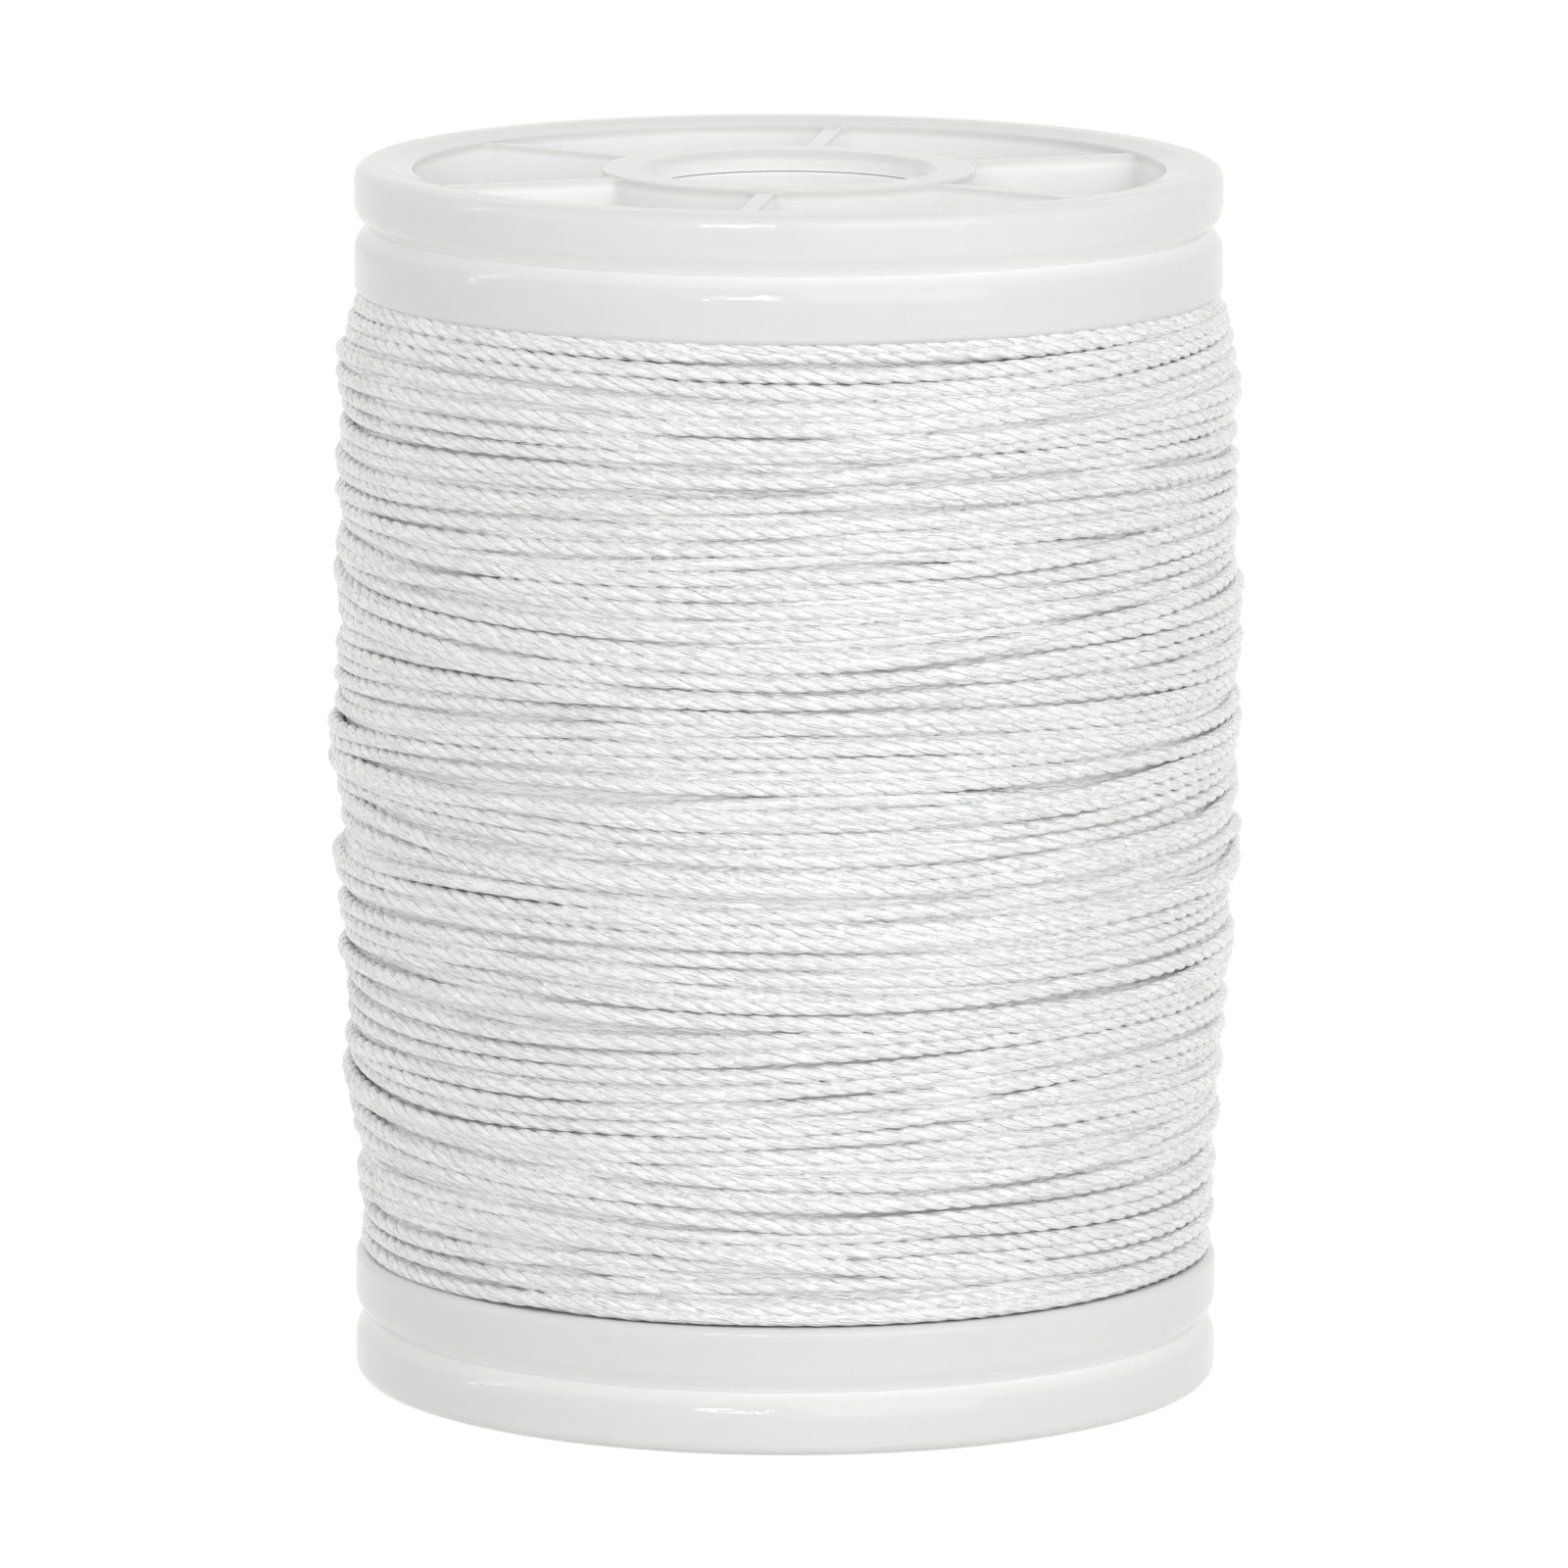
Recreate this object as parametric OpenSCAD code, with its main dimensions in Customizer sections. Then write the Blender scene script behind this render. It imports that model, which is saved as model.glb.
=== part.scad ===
// Snap-lock spool of waxed thread.
// A one-piece core has a flange and a short neck at each end. A spoked locking cap slides on
// each neck: pulled out it opens the seam beside its flange, and pushed home it nips the
// thread's end there. The thread is wound between the flanges. The origin is at the centre
// of the base, and +Z runs up the spool's axis.

/* [Spool] */
// Height over both locking caps
spool_h = 59.4; // [50:0.2:80]
// Diameter over the rims
rim_d = 42; // [38:0.5:56]
// Radial width of the rims
rim_w = 2.8; // [2.4:0.1:4]
// Height of a locking cap's rim
cap_rim_h = 3; // [2.8:0.1:4.5]
// Height of a flange's rim
flange_rim_h = 3.2; // [3:0.1:4.5]
// Rounding of both rims beside the seam between cap and flange
seam_fillet = 1.2; // [0.6:0.1:1.5]
// Rounding of a cap's outer edge
cap_edge_fillet = 0.7; // [0.3:0.1:1.2]
// Rounding of a flange's edge beside the thread
flange_edge_fillet = 0.6; // [0.3:0.1:0.9]

/* [Core] */
// Bore for the spindle
bore_d = 13.6; // [8:0.2:16]
// Wall of the barrel that the thread is wound on
barrel_wall = 1.6; // [1.2:0.1:3]
// Thickness of a flange inside its rim
web_t = 1.4; // [1:0.1:2]
// Wall of the neck that carries a cap
neck_wall = 1.15; // [0.9:0.05:1.6]
// Height of the retaining bead round a neck
bead_h = 0.25; // [0.15:0.05:0.4]
// Width of the retaining bead along the neck
bead_w = 0.8; // [0.8:0.05:1.1]
// Distance from the neck's end to the middle of its bead
bead_inset = 0.75; // [0.6:0.05:0.9]

/* [Locking caps] */
// Number of spokes in a cap
spokes = 6; // [3:1:8]
// Thickness of a spoke
spoke_t = 0.9; // [0.7:0.1:1.6]
// Turn of the first spoke from +X
spoke_turn = 23; // [0:1:59]
// Depth of the spokes' tops below the hub's face
spoke_inset = 0.1; // [0.05:0.05:0.5]
// Wall of the collar that slides on the neck
collar_wall = 1; // [0.9:0.1:1.6]
// Thickness of the lip that covers the neck's end
mouth_lip_t = 1; // [0.8:0.1:1.3]
// Chamfer at the mouth of the bore
mouth_chamfer = 0.4; // [0.2:0.1:0.6]
// Width of the sloped inner margin of a cap's rim
margin_w = 1.2; // [0.8:0.1:1.4]
// Fall of that margin to the spokes
margin_drop = 0.25; // [0.1:0.05:0.4]
// Travel of a cap from closed to open
cap_travel = 1.4; // [0.8:0.1:1.5]

/* [Thread] */
// Diameter of the thread
thread_d = 0.9; // [0.6:0.05:1.1]
// Turns drawn in the outer layer
outer_turns = 24; // [12:1:24]
// How far the thread stands proud of the rims beside the bottom flange
wound_bottom_proud = -0.4; // [-4:0.1:-0.3]
// How far the thread stands proud of the rims beside the top flange
wound_top_proud = 0.4; // [-4:0.1:0.6]
// Belly of the winding at half height, on the radius
wound_belly = 1; // [0:0.1:1.6]
// Direction from +X in which the thread's end stands
thread_end_turn = 90; // [0:5:355]

/* [Clearances] */
// Radial clearance between neck and collar, and over the bead
fit_gap = 0.08; // [0.03:0.01:0.1]
// Play along the axis at the bead and at the neck's end
end_gap = 0.1; // [0.05:0.05:0.2]
// Clearance under a closed collar's foot
foot_gap = 0.3; // [0.2:0.05:0.5]
// Clearance between the thread and what it lies against
thread_gap = 0.06; // [0.04:0.01:0.1]

/* [Hidden] */

plastic_white = [0.9, 0.9, 0.88];
cap_white = [0.88, 0.88, 0.85];
thread_white = [0.96, 0.96, 0.96];
round_fn = 128;

rim_r = rim_d / 2;
recess_r = rim_r - rim_w;
bore_r = bore_d / 2;
barrel_r = bore_r + barrel_wall;
neck_r = bore_r + neck_wall;
collar_r = neck_r + fit_gap;
hub_r = collar_r + collar_wall;

// Heights in an end of the spool are taken from its seam, outwards
seam_top_z = spool_h - cap_rim_h;
seam_bottom_z = cap_rim_h;
hub_top = cap_rim_h - margin_drop;
neck_end = hub_top - mouth_lip_t - end_gap;
bead_mid = neck_end - bead_inset;
web_face = web_t - flange_rim_h;
collar_foot = web_face + foot_gap;
groove_low = bead_mid - bead_w / 2 - cap_travel - end_gap / 2;
groove_high = bead_mid + bead_w / 2 + end_gap / 2;
neck_lead = 0.3;
weld = 0.4;

// The winding runs from one flange's inner face to the other's
wound_low_z = cap_rim_h + flange_rim_h;
wound_high_z = spool_h - wound_low_z;
wound_h = wound_high_z - wound_low_z;
thread_r = thread_d / 2;
rings_per_turn = 24;
thread_sides = 6;
bend_steps = 5;
bend_r = thread_d;
layer_steps = 16;

// Rounding tool: the square corner at the origin, less a quarter circle
module corner_waste(r) {
    difference() {
        translate([-r, -r]) square(r + weld);
        translate([-r, -r]) circle(r, $fn = round_fn);
    }
}

// Revolved section with its roundings, drawn from the axis outwards
module revolve() {
    rotate_extrude($fn = round_fn) children();
}

// Places a part of an end, drawn upwards from its seam, on the top or the bottom end
module at_top() {
    translate([0, 0, seam_top_z]) children();
}

module at_bottom() {
    translate([0, 0, seam_bottom_z]) mirror([0, 0, 1]) children();
}

// Flange with its rim, its web and the neck that carries the cap
module flange_section() {
    difference() {
        union() {
            translate([recess_r, -flange_rim_h]) square([rim_w, flange_rim_h]);
            translate([bore_r, -flange_rim_h]) square([recess_r + weld - bore_r, web_t]);
            translate([bore_r, -flange_rim_h]) square([neck_wall, neck_end + flange_rim_h]);
            bead_section();
        }
        translate([rim_r, 0]) corner_waste(seam_fillet);
        translate([rim_r, -flange_rim_h]) mirror([0, 1]) corner_waste(flange_edge_fillet);
        polygon([
            [neck_r - neck_lead, neck_end],
            [neck_r, neck_end - neck_lead],
            [neck_r + weld, neck_end - neck_lead],
            [neck_r + weld, neck_end + weld],
            [neck_r - neck_lead, neck_end + weld]
        ]);
    }
}

// Retaining bead with ramps at 45 degrees, which the cap snaps over
module bead_section() {
    low = bead_mid - bead_w / 2;
    high = bead_mid + bead_w / 2;
    polygon([
        [neck_r - bead_h, low],
        [neck_r, low],
        [neck_r + bead_h, low + bead_h],
        [neck_r + bead_h, high - bead_h],
        [neck_r, high],
        [neck_r - bead_h, high]
    ]);
}

// Core: the barrel and both flanges, moulded in one piece round one straight bore
module winding_core() {
    color(plastic_white) {
        union() {
            revolve() translate([bore_r, wound_low_z - web_t / 2]) square([barrel_wall, wound_h + web_t]);
            at_top() revolve() flange_section();
            at_bottom() revolve() flange_section();
        }
    }
}

// Rim of a cap, rounded at the seam and at its outer edge, with a sloped inner margin
module cap_rim_section() {
    difference() {
        translate([recess_r, 0]) square([rim_w, cap_rim_h]);
        translate([rim_r, 0]) mirror([0, 1]) corner_waste(seam_fillet);
        translate([rim_r, cap_rim_h]) corner_waste(cap_edge_fillet);
        polygon([
            [recess_r, hub_top],
            [recess_r + margin_w, cap_rim_h],
            [recess_r + margin_w, cap_rim_h + weld],
            [recess_r - weld, cap_rim_h + weld],
            [recess_r - weld, hub_top]
        ]);
    }
}

// Hub of a cap: a collar over the neck, with a lip over the neck's end and a chamfered mouth
module hub_section() {
    difference() {
        translate([bore_r, collar_foot]) square([hub_r - bore_r, hub_top - collar_foot]);
        translate([bore_r - weld, collar_foot - weld])
            square([collar_r - bore_r + weld, hub_top - mouth_lip_t - collar_foot + weld]);
        translate([collar_r - weld, groove_low])
            square([weld + bead_h, groove_high - groove_low]);
        translate([bore_r, hub_top]) rotate(45) square(mouth_chamfer * sqrt(2), center = true);
    }
}

// Spokes from the hub to the rim
module cap_spokes() {
    inner = hub_r - weld;
    for (i = [0:spokes - 1])
        rotate([0, 0, spoke_turn + i * 360 / spokes])
            translate([inner, -spoke_t / 2, 0])
                cube([recess_r + weld - inner, spoke_t, hub_top - spoke_inset]);
}

// Locking cap, closed on its neck
module lock_cap() {
    union() {
        revolve() cap_rim_section();
        revolve() hub_section();
        cap_spokes();
    }
}

module top_lock_cap() {
    color(cap_white) at_top() lock_cap();
}

module bottom_lock_cap() {
    color(cap_white) at_bottom() lock_cap();
}

// Radius over the thread at a height: a straight run from end to end with a sine's belly
function wound_r(z) =
    let (t = (z - wound_low_z) / wound_h)
    rim_r + wound_bottom_proud + (wound_top_proud - wound_bottom_proud) * t + wound_belly * sin(180 * t);

// Radius of the outer turns' middle line at a height
function turn_r(z) = wound_r(z) - thread_r;

// Fall of a straight stretch between two rings below the turn's circle
function chord_sag(z) = turn_r(z) * (1 - cos(180 / rings_per_turn));

// The inner layers, as one plain body below the outer turns
module wound_layers() {
    inner = barrel_r + thread_gap;
    low = wound_low_z + thread_gap;
    high = wound_high_z - thread_gap;
    side = [for (i = [0:layer_steps])
        let (z = low + (high - low) * i / layer_steps)
        [turn_r(z) - thread_r - chord_sag(z) - thread_gap, z]];
    color(thread_white) revolve() polygon(concat([[inner, high], [inner, low]], side));
}

// Middle line of the outer layer, as [angle, height] pairs. It leaves the bottom flange
// upright, bends into the turns, and bends upright again to meet the top flange.
turns_low_z = wound_low_z + thread_gap + thread_d + bend_r;
turns_high_z = wound_high_z - thread_gap - thread_d - bend_r;
turn_rings = outer_turns * rings_per_turn;
function along(length, z) = length / turn_r(z) * 180 / PI;
start_bend_arc = along(bend_r, turns_low_z);
end_bend_arc = along(bend_r, turns_high_z);
turns_end = thread_end_turn + 360 * outer_turns;
winding_line = concat(
    [[thread_end_turn - start_bend_arc, wound_low_z + thread_gap]],
    [for (i = [0:bend_steps - 1])
        let (a = 90 * i / bend_steps)
        [thread_end_turn - start_bend_arc * cos(a), turns_low_z - bend_r * (1 - sin(a))]],
    [for (i = [0:turn_rings])
        [thread_end_turn + 360 * i / rings_per_turn,
         turns_low_z + (turns_high_z - turns_low_z) * i / turn_rings]],
    [for (i = [1:bend_steps])
        let (a = 90 * i / bend_steps)
        [turns_end + end_bend_arc * sin(a), turns_high_z + bend_r * (1 - cos(a))]],
    [[turns_end + end_bend_arc, wound_high_z - thread_gap]]
);
winding_points = [for (p = winding_line) turn_r(p[1]) * [cos(p[0]), sin(p[0]), 0] + [0, 0, p[1]]];
winding_last = len(winding_points) - 1;

function unit(v) = v / norm(v);
function line_direction(i) =
    i == 0 || i == winding_last ? [0, 0, 1] :
    unit(winding_points[i + 1] - winding_points[i - 1]);

// One ring of the tube, across the line at a point
function thread_ring(i) =
    let (a = winding_line[i][0])
    let (out = [cos(a), sin(a), 0])
    let (side = unit(cross(line_direction(i), out)))
    let (up = cross(side, line_direction(i)))
    [for (k = [0:thread_sides - 1])
        winding_points[i] + thread_r * (up * cos(360 * k / thread_sides) + side * sin(360 * k / thread_sides))];

// Least distance between two turns' surfaces: every point of the line is set against
// every other that is at least half a turn further on
function least_gap() =
    min([for (i = [0:winding_last - rings_per_turn])
        min([for (j = [i + rings_per_turn / 2:winding_last])
            norm(winding_points[j] - winding_points[i])])]) - thread_d;

// The outer layer, as one unbroken tube
module outer_winding() {
    echo(least_gap_between_turns = least_gap());
    n = thread_sides;
    points = [for (i = [0:winding_last]) each thread_ring(i)];
    walls = [for (i = [0:winding_last - 1]) for (k = [0:n - 1])
        let (a = i * n + k)
        let (b = i * n + (k + 1) % n)
        each [[a, b + n, b], [a, a + n, b + n]]];
    start_cap = [for (k = [1:n - 2]) [0, k, k + 1]];
    end_cap = [for (k = [1:n - 2]) [winding_last * n, winding_last * n + k + 1, winding_last * n + k]];
    color(thread_white) polyhedron(points, concat(walls, start_cap, end_cap));
}

winding_core();
wound_layers();
outer_winding();
top_lock_cap();
bottom_lock_cap();
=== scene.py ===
"""Snap-lock spool wound with white waxed thread.

The spool's core and its two locking caps are revolved sections with rounded edges. The thread is
one twisted three-ply line, laid turn by turn on the layer below it, so that it nests, rides over
its neighbours and leaves thin wedges between turns, as a wound thread does. Lengths are in metres.
"""

import bpy
import numpy as np
from mathutils import Matrix, Vector


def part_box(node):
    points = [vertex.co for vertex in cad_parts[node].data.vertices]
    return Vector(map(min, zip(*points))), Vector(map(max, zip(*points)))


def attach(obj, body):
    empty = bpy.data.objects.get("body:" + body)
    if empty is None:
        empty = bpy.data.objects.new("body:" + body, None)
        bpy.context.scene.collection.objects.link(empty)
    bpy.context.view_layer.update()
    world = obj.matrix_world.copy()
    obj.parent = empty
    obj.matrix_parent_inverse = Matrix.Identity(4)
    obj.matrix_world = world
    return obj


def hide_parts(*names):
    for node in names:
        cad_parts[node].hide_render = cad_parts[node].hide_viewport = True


bl_info = {
    "name": "Waxed Thread Spool",
    "version": (1, 0, 0),
    "blender": (4, 5, 0),
    "location": "View3D > Sidebar > Thread Spool",
    "description": "Dresses a snap-lock spool and winds it with waxed three-ply thread",
    "category": "Add Mesh",
}

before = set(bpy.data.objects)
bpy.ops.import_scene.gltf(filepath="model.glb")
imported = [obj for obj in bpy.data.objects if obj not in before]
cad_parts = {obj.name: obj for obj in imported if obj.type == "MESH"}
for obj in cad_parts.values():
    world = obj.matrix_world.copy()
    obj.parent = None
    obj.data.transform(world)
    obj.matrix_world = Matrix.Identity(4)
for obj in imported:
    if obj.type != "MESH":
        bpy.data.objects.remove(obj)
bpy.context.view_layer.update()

TAU = 2 * np.pi
MM = 0.001
WOUND_GAP = 0.06 * MM  # gap between the inner layers and the core
SPOOL_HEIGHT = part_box("top_lock_cap")[1].z
RIM_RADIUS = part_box("top_lock_cap")[1].x
WOUND_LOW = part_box("wound_layers")[0].z - WOUND_GAP
WOUND_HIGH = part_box("wound_layers")[1].z + WOUND_GAP
BRACE = 0.12 * MM  # distance of the points that keep a flat flat beside a rounding


# ---- sizes and colours


def length(name, description, default, low=0.0, high=1.0):
    """A size in metres."""
    return bpy.props.FloatProperty(
        name=name, description=description, default=default, min=low, max=high,
        precision=5, subtype="DISTANCE", unit="LENGTH",
    )


def angle_of(name, description, default):
    """An angle in radians."""
    return bpy.props.FloatProperty(
        name=name, description=description, default=default, subtype="ANGLE", unit="ROTATION",
    )


def share(name, description, default):
    """A share from 0 to 1."""
    return bpy.props.FloatProperty(
        name=name, description=description, default=default, min=0.0, max=1.0,
    )


def tint(name, description, default):
    """A linear colour."""
    return bpy.props.FloatVectorProperty(
        name=name, description=description, default=default, size=3,
        min=0.0, max=1.0, subtype="COLOR",
    )


class SpoolSizes(bpy.types.PropertyGroup):
    """Sizes of the core and the locking caps"""

    height: length("Height", "Height over both locking caps", SPOOL_HEIGHT)
    rim_radius: length("Rim radius", "Radius over the rims", RIM_RADIUS)
    rim_width: length("Rim width", "Radial width of the rims", 0.0028)
    cap_rim: length("Cap rim", "Height of a locking cap's rim", 0.003)
    flange_rim: length("Flange rim", "Height of a flange's rim", 0.0032)
    seam_depth: length("Seam depth", "Depth of the V between a cap and a flange", 0.00068)
    seam_rounding: length("Seam rounding", "Rounding of both rims beside the seam", 0.0012)
    cap_rounding: length("Cap rounding", "Rounding of a cap's outer edge", 0.0007)
    flange_rounding: length("Flange rounding", "Rounding beside the thread", 0.0004)
    bore: length("Bore radius", "Radius of the spindle bore", 0.0068)
    barrel_wall: length("Barrel wall", "Wall of the barrel under the thread", 0.0016)
    web: length("Web", "Thickness of a flange inside its rim", 0.0014)
    neck_wall: length("Neck wall", "Wall of the neck that carries a cap", 0.00115)
    bead: length("Bead height", "Height of the retaining bead", 0.00025)
    bead_width: length("Bead width", "Width of the retaining bead", 0.0008)
    bead_inset: length("Bead inset", "Neck's end to the bead's middle", 0.00075)
    fit: length("Fit", "Radial clearance of the collar on the neck", 0.00008)
    play: length("Play", "Play of the cap along the neck", 0.00003)
    collar_wall: length("Collar wall", "Wall of the collar on the neck", 0.001)
    collar_foot: length("Collar foot", "Clearance under the collar", 0.0003)
    lip: length("Mouth lip", "Thickness of the lip over the neck", 0.001)
    chamfer: length("Mouth chamfer", "Chamfer at the mouth of the bore", 0.0004)
    margin_width: length("Margin width", "Width of the rim's sloped margin", 0.0012)
    margin_drop: length("Margin drop", "Fall of the rim's sloped margin", 0.00025)
    travel: length("Travel", "Travel of a cap", 0.0014)
    spokes: bpy.props.IntProperty(name="Spokes", description="Spokes in a cap", default=6, min=2)
    spoke: length("Spoke", "Thickness of a spoke", 0.0009)
    spoke_turn: angle_of("Spoke turn", "Turn of the first spoke from +X", np.radians(23))


class ThreadSizes(bpy.types.PropertyGroup):
    """Sizes of the thread and of the way it is wound"""

    radius: length("Thread radius", "Radius over the three plies", 0.00041)
    lay: length("Lay", "Length in which the plies turn once round", 0.0037)
    uneven_twist: share("Uneven twist", "How far the twist runs ahead or behind", 0.5)
    ply_offset: share("Ply offset", "Distance of a ply's middle, in thread radii", 0.34)
    pitch: length("Pitch", "Mean distance between turns", 0.00073)
    squeeze: share("Squeeze", "Half width at which turns touch, in thread radii", 0.86)
    bottom_proud: length("Bottom proud", "Thread over the rims at the bottom", -0.0004, low=-1)
    top_proud: length("Top proud", "Thread over the rims at the top", 0.0004)
    belly: length("Belly", "Belly of the winding at half height", 0.001)
    shoulder: length("Shoulder", "Swelling of the winding below the top flange", 0.0006)
    tuck: length("Tuck", "How far the turns beside the top flange are tucked in", 0.001)
    drift: length("Drift", "Slow wander of neighbouring turns together", 0.0004)
    wander: length("Wander", "Wander of each turn by itself", 0.00014)
    flatten: share("Flatten", "How much of the turns' unevenness is left after pressing", 0.42)
    bed: length("Bed", "Depth of the inner layers under the outer turns", 0.0006)
    seed: bpy.props.IntProperty(name="Seed", description="Which winding is laid", default=3)


class Finishes(bpy.types.PropertyGroup):
    """Colours of the plastic and the thread"""

    core: tint("Core", "Milky plastic of the core", (0.73, 0.73, 0.73))
    cap: tint("Caps", "Milky plastic of the caps", (0.74, 0.74, 0.73))
    # painted light: this lighter plastic colour is painted inside the rims, along the seam and at
    # the mouth joint, for light through the walls and against the shade there
    painted_light: tint("Thin walls", "Plastic where light gets through", (0.93, 0.93, 0.93))
    thread: tint("Thread", "White waxed thread", (0.95, 0.95, 0.95))
    floor: tint("Floor", "Plain pale floor", (0.9, 0.9, 0.9))


class CameraPlace(bpy.types.PropertyGroup):
    """Where the camera stands"""

    distance: length("Distance", "Camera to the spool's axis", 0.6483, high=10)
    height: length("Height", "Camera above the floor", 0.1365, high=10)
    aside: length("Aside", "Camera beside the axis", -0.000146, low=-1)
    tilt: angle_of("Tilt", "Angle of the view below level", np.radians(9.419))
    roll: angle_of("Roll", "Turn of the view about its own line", 0.0031)
    lens: bpy.props.FloatProperty(
        name="Lens", description="Focal length on a 36 mm frame", default=310.04, unit="CAMERA",
    )


# ---- surfaces


def mesh_piece(name, points, faces, material, body, vectors=None, creases=None):
    """A smooth mesh object at the origin that rides on a body.

    points is (n, 3). faces is a list of (m, k) index arrays, one for each number of corners.
    vectors holds further (n, 3) arrays by attribute name. creases marks the points on sharp
    lines: an edge between two of them stays sharp.
    """
    mesh = bpy.data.meshes.new(name)
    corners = np.concatenate([f.ravel() for f in faces])
    sizes = np.concatenate([np.full(len(f), f.shape[1]) for f in faces])
    starts = np.concatenate([[0], np.cumsum(sizes)[:-1]])
    mesh.vertices.add(len(points))
    mesh.vertices.foreach_set("co", np.ascontiguousarray(points, np.float32).ravel())
    mesh.loops.add(len(corners))
    mesh.loops.foreach_set("vertex_index", corners.astype(np.int32))
    mesh.polygons.add(len(sizes))
    mesh.polygons.foreach_set("loop_start", starts.astype(np.int32))
    mesh.update(calc_edges=True)
    mesh.validate()
    mesh.polygons.foreach_set("use_smooth", np.ones(len(mesh.polygons), bool))
    if creases is not None:
        ends = np.empty(2 * len(mesh.edges), np.int32)
        mesh.edges.foreach_get("vertices", ends)
        sharp = mesh.attributes.new("sharp_edge", "BOOLEAN", "EDGE")
        sharp.data.foreach_set("value", creases[ends].reshape(-1, 2).all(axis=1))
        # the valley attribute marks where the thread's material paints shade between the plies
        valley = mesh.attributes.new("valley", "FLOAT", "POINT")
        valley.data.foreach_set("value", creases.astype(np.float32))
    for key, values in (vectors or {}).items():
        attribute = mesh.attributes.new(key, "FLOAT_VECTOR", "POINT")
        attribute.data.foreach_set("vector", np.ascontiguousarray(values, np.float32).ravel())
    mesh.materials.append(material)
    piece = bpy.data.objects.new(name, mesh)
    bpy.context.scene.collection.objects.link(piece)
    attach(piece, body)
    return piece


def grid_faces(index, close_rows=True):
    """Quads of a grid of point numbers, whose columns close on themselves.

    Its rows close too if close_rows. The result is (rows, columns, 4).
    """
    below = np.roll(index, -1, axis=0)
    quads = np.stack(
        [index, below, np.roll(below, -1, axis=1), np.roll(index, -1, axis=1)], -1
    )
    return quads if close_rows else quads[:-1]


def rounded(corners, steps=7, brace=BRACE):
    """A closed outline with its corners rounded.

    corners is a list of (r, z, rounding). Each corner becomes an arc that touches both of its
    sides: with the half angle h between them, it starts rounding / tan(h) from the corner, and
    its middle lies rounding / sin(h) along the bisector. A point at the brace's distance before
    and after each arc keeps the flats flat when shaded.
    """
    outline = []
    points = np.array([c[:2] for c in corners], float)
    for k, (here, rounding) in enumerate(zip(points, [c[2] for c in corners])):
        back, ahead = points[k - 1] - here, points[(k + 1) % len(points)] - here
        back_length, ahead_length = np.linalg.norm(back), np.linalg.norm(ahead)
        back, ahead = back / back_length, ahead / ahead_length
        half = np.arccos(np.clip(back @ ahead, -1, 1)) / 2
        reach = rounding / np.tan(half)
        middle = here + (back + ahead) / np.linalg.norm(back + ahead) * rounding / np.sin(half)
        start, end = here + back * reach - middle, here + ahead * reach - middle
        t = np.linspace(0, 1, steps)[:, None]
        spread = np.pi - 2 * half
        arc = (np.sin((1 - t) * spread) * start + np.sin(t * spread) * end) / np.sin(spread)
        before = here + back * min(reach + brace, 0.45 * back_length + 0.55 * reach)
        after = here + ahead * min(reach + brace, 0.45 * ahead_length + 0.55 * reach)
        outline += [before[None], middle + arc, after[None]]
    return np.concatenate(outline)


def all_round(steps):
    """Equally spaced angles of a full turn."""
    return np.arange(steps) * TAU / steps


def revolved(outline, angles):
    """Points of an (r, z) outline carried round the axis: (r cos a, r sin a, z) at each angle a.

    The faces come as (angles, outline, 4).
    """
    angle = angles[:, None]
    r, z = outline[None, :, 0], outline[None, :, 1]
    grid = np.stack([r * np.cos(angle), r * np.sin(angle), z + 0 * angle], -1)
    index = np.arange(grid.shape[0] * grid.shape[1]).reshape(grid.shape[:2])
    return grid.reshape(-1, 3), grid_faces(index)


# ---- core and caps


def end_heights(s):
    """Heights in one end of the spool, taken from its seam outwards, by name."""
    hub_top = s.cap_rim - s.margin_drop
    neck_end = hub_top - s.lip - s.play
    bead_middle = neck_end - s.bead_inset
    return {
        "hub_top": hub_top,
        "neck_end": neck_end,
        "bead_low": bead_middle - s.bead_width / 2,
        "bead_high": bead_middle + s.bead_width / 2,
        "web_face": s.web - s.flange_rim,
    }


def core_outline(s):
    """Closed (r, z) section of the core: barrel, both flanges, necks and retaining beads."""
    h = end_heights(s)
    edge, root, lead = 0.15 * MM, 0.25 * MM, 0.3 * MM
    neck, recess = s.bore + s.neck_wall, s.rim_radius - s.rim_width
    end = [
        (s.bore, h["neck_end"], edge / 2),
        (neck - lead, h["neck_end"], edge / 3),
        (neck, h["neck_end"] - lead, edge / 3),
        (neck, h["bead_high"], edge / 3),
        (neck + s.bead, h["bead_high"] - s.bead, edge / 3),
        (neck + s.bead, h["bead_low"] + s.bead, edge / 3),
        (neck, h["bead_low"], edge / 3),
        (neck, h["web_face"], root),
        (recess, h["web_face"], root),
        (recess, 0, edge),
        (s.rim_radius - s.seam_depth, 0, edge / 3),
        (s.rim_radius, -s.seam_depth, s.seam_rounding),
        (s.rim_radius, -s.flange_rim, s.flange_rounding),
        (s.bore + s.barrel_wall, -s.flange_rim, root),
    ]
    bottom = [(r, s.cap_rim - u, f) for r, u, f in end]
    top = [(r, s.height - s.cap_rim + u, f) for r, u, f in reversed(end)]
    return rounded(bottom + top)


SPOKE_ACROSS = 7  # points across a spoke
SPOKE_UP = 4  # points up its side
SPOKE_BETWEEN = 37  # points round a wall from one spoke to the next
# The points round a spoke's section, by place across and up it: up one side, over the top,
# down the other side and back below
SPOKE_COLUMNS = np.array([0] * SPOKE_UP + [1, 2, 3, 4, 5] + [6] * SPOKE_UP + [5, 4, 3, 2, 1])
SPOKE_ROWS = np.array([0, 1, 2, 3] + [3] * 5 + [3, 2, 1, 0] + [0] * 5)
SPOKE_CORNER = (SPOKE_COLUMNS % (SPOKE_ACROSS - 1) == 0) & (SPOKE_ROWS % (SPOKE_UP - 1) == 0)


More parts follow.
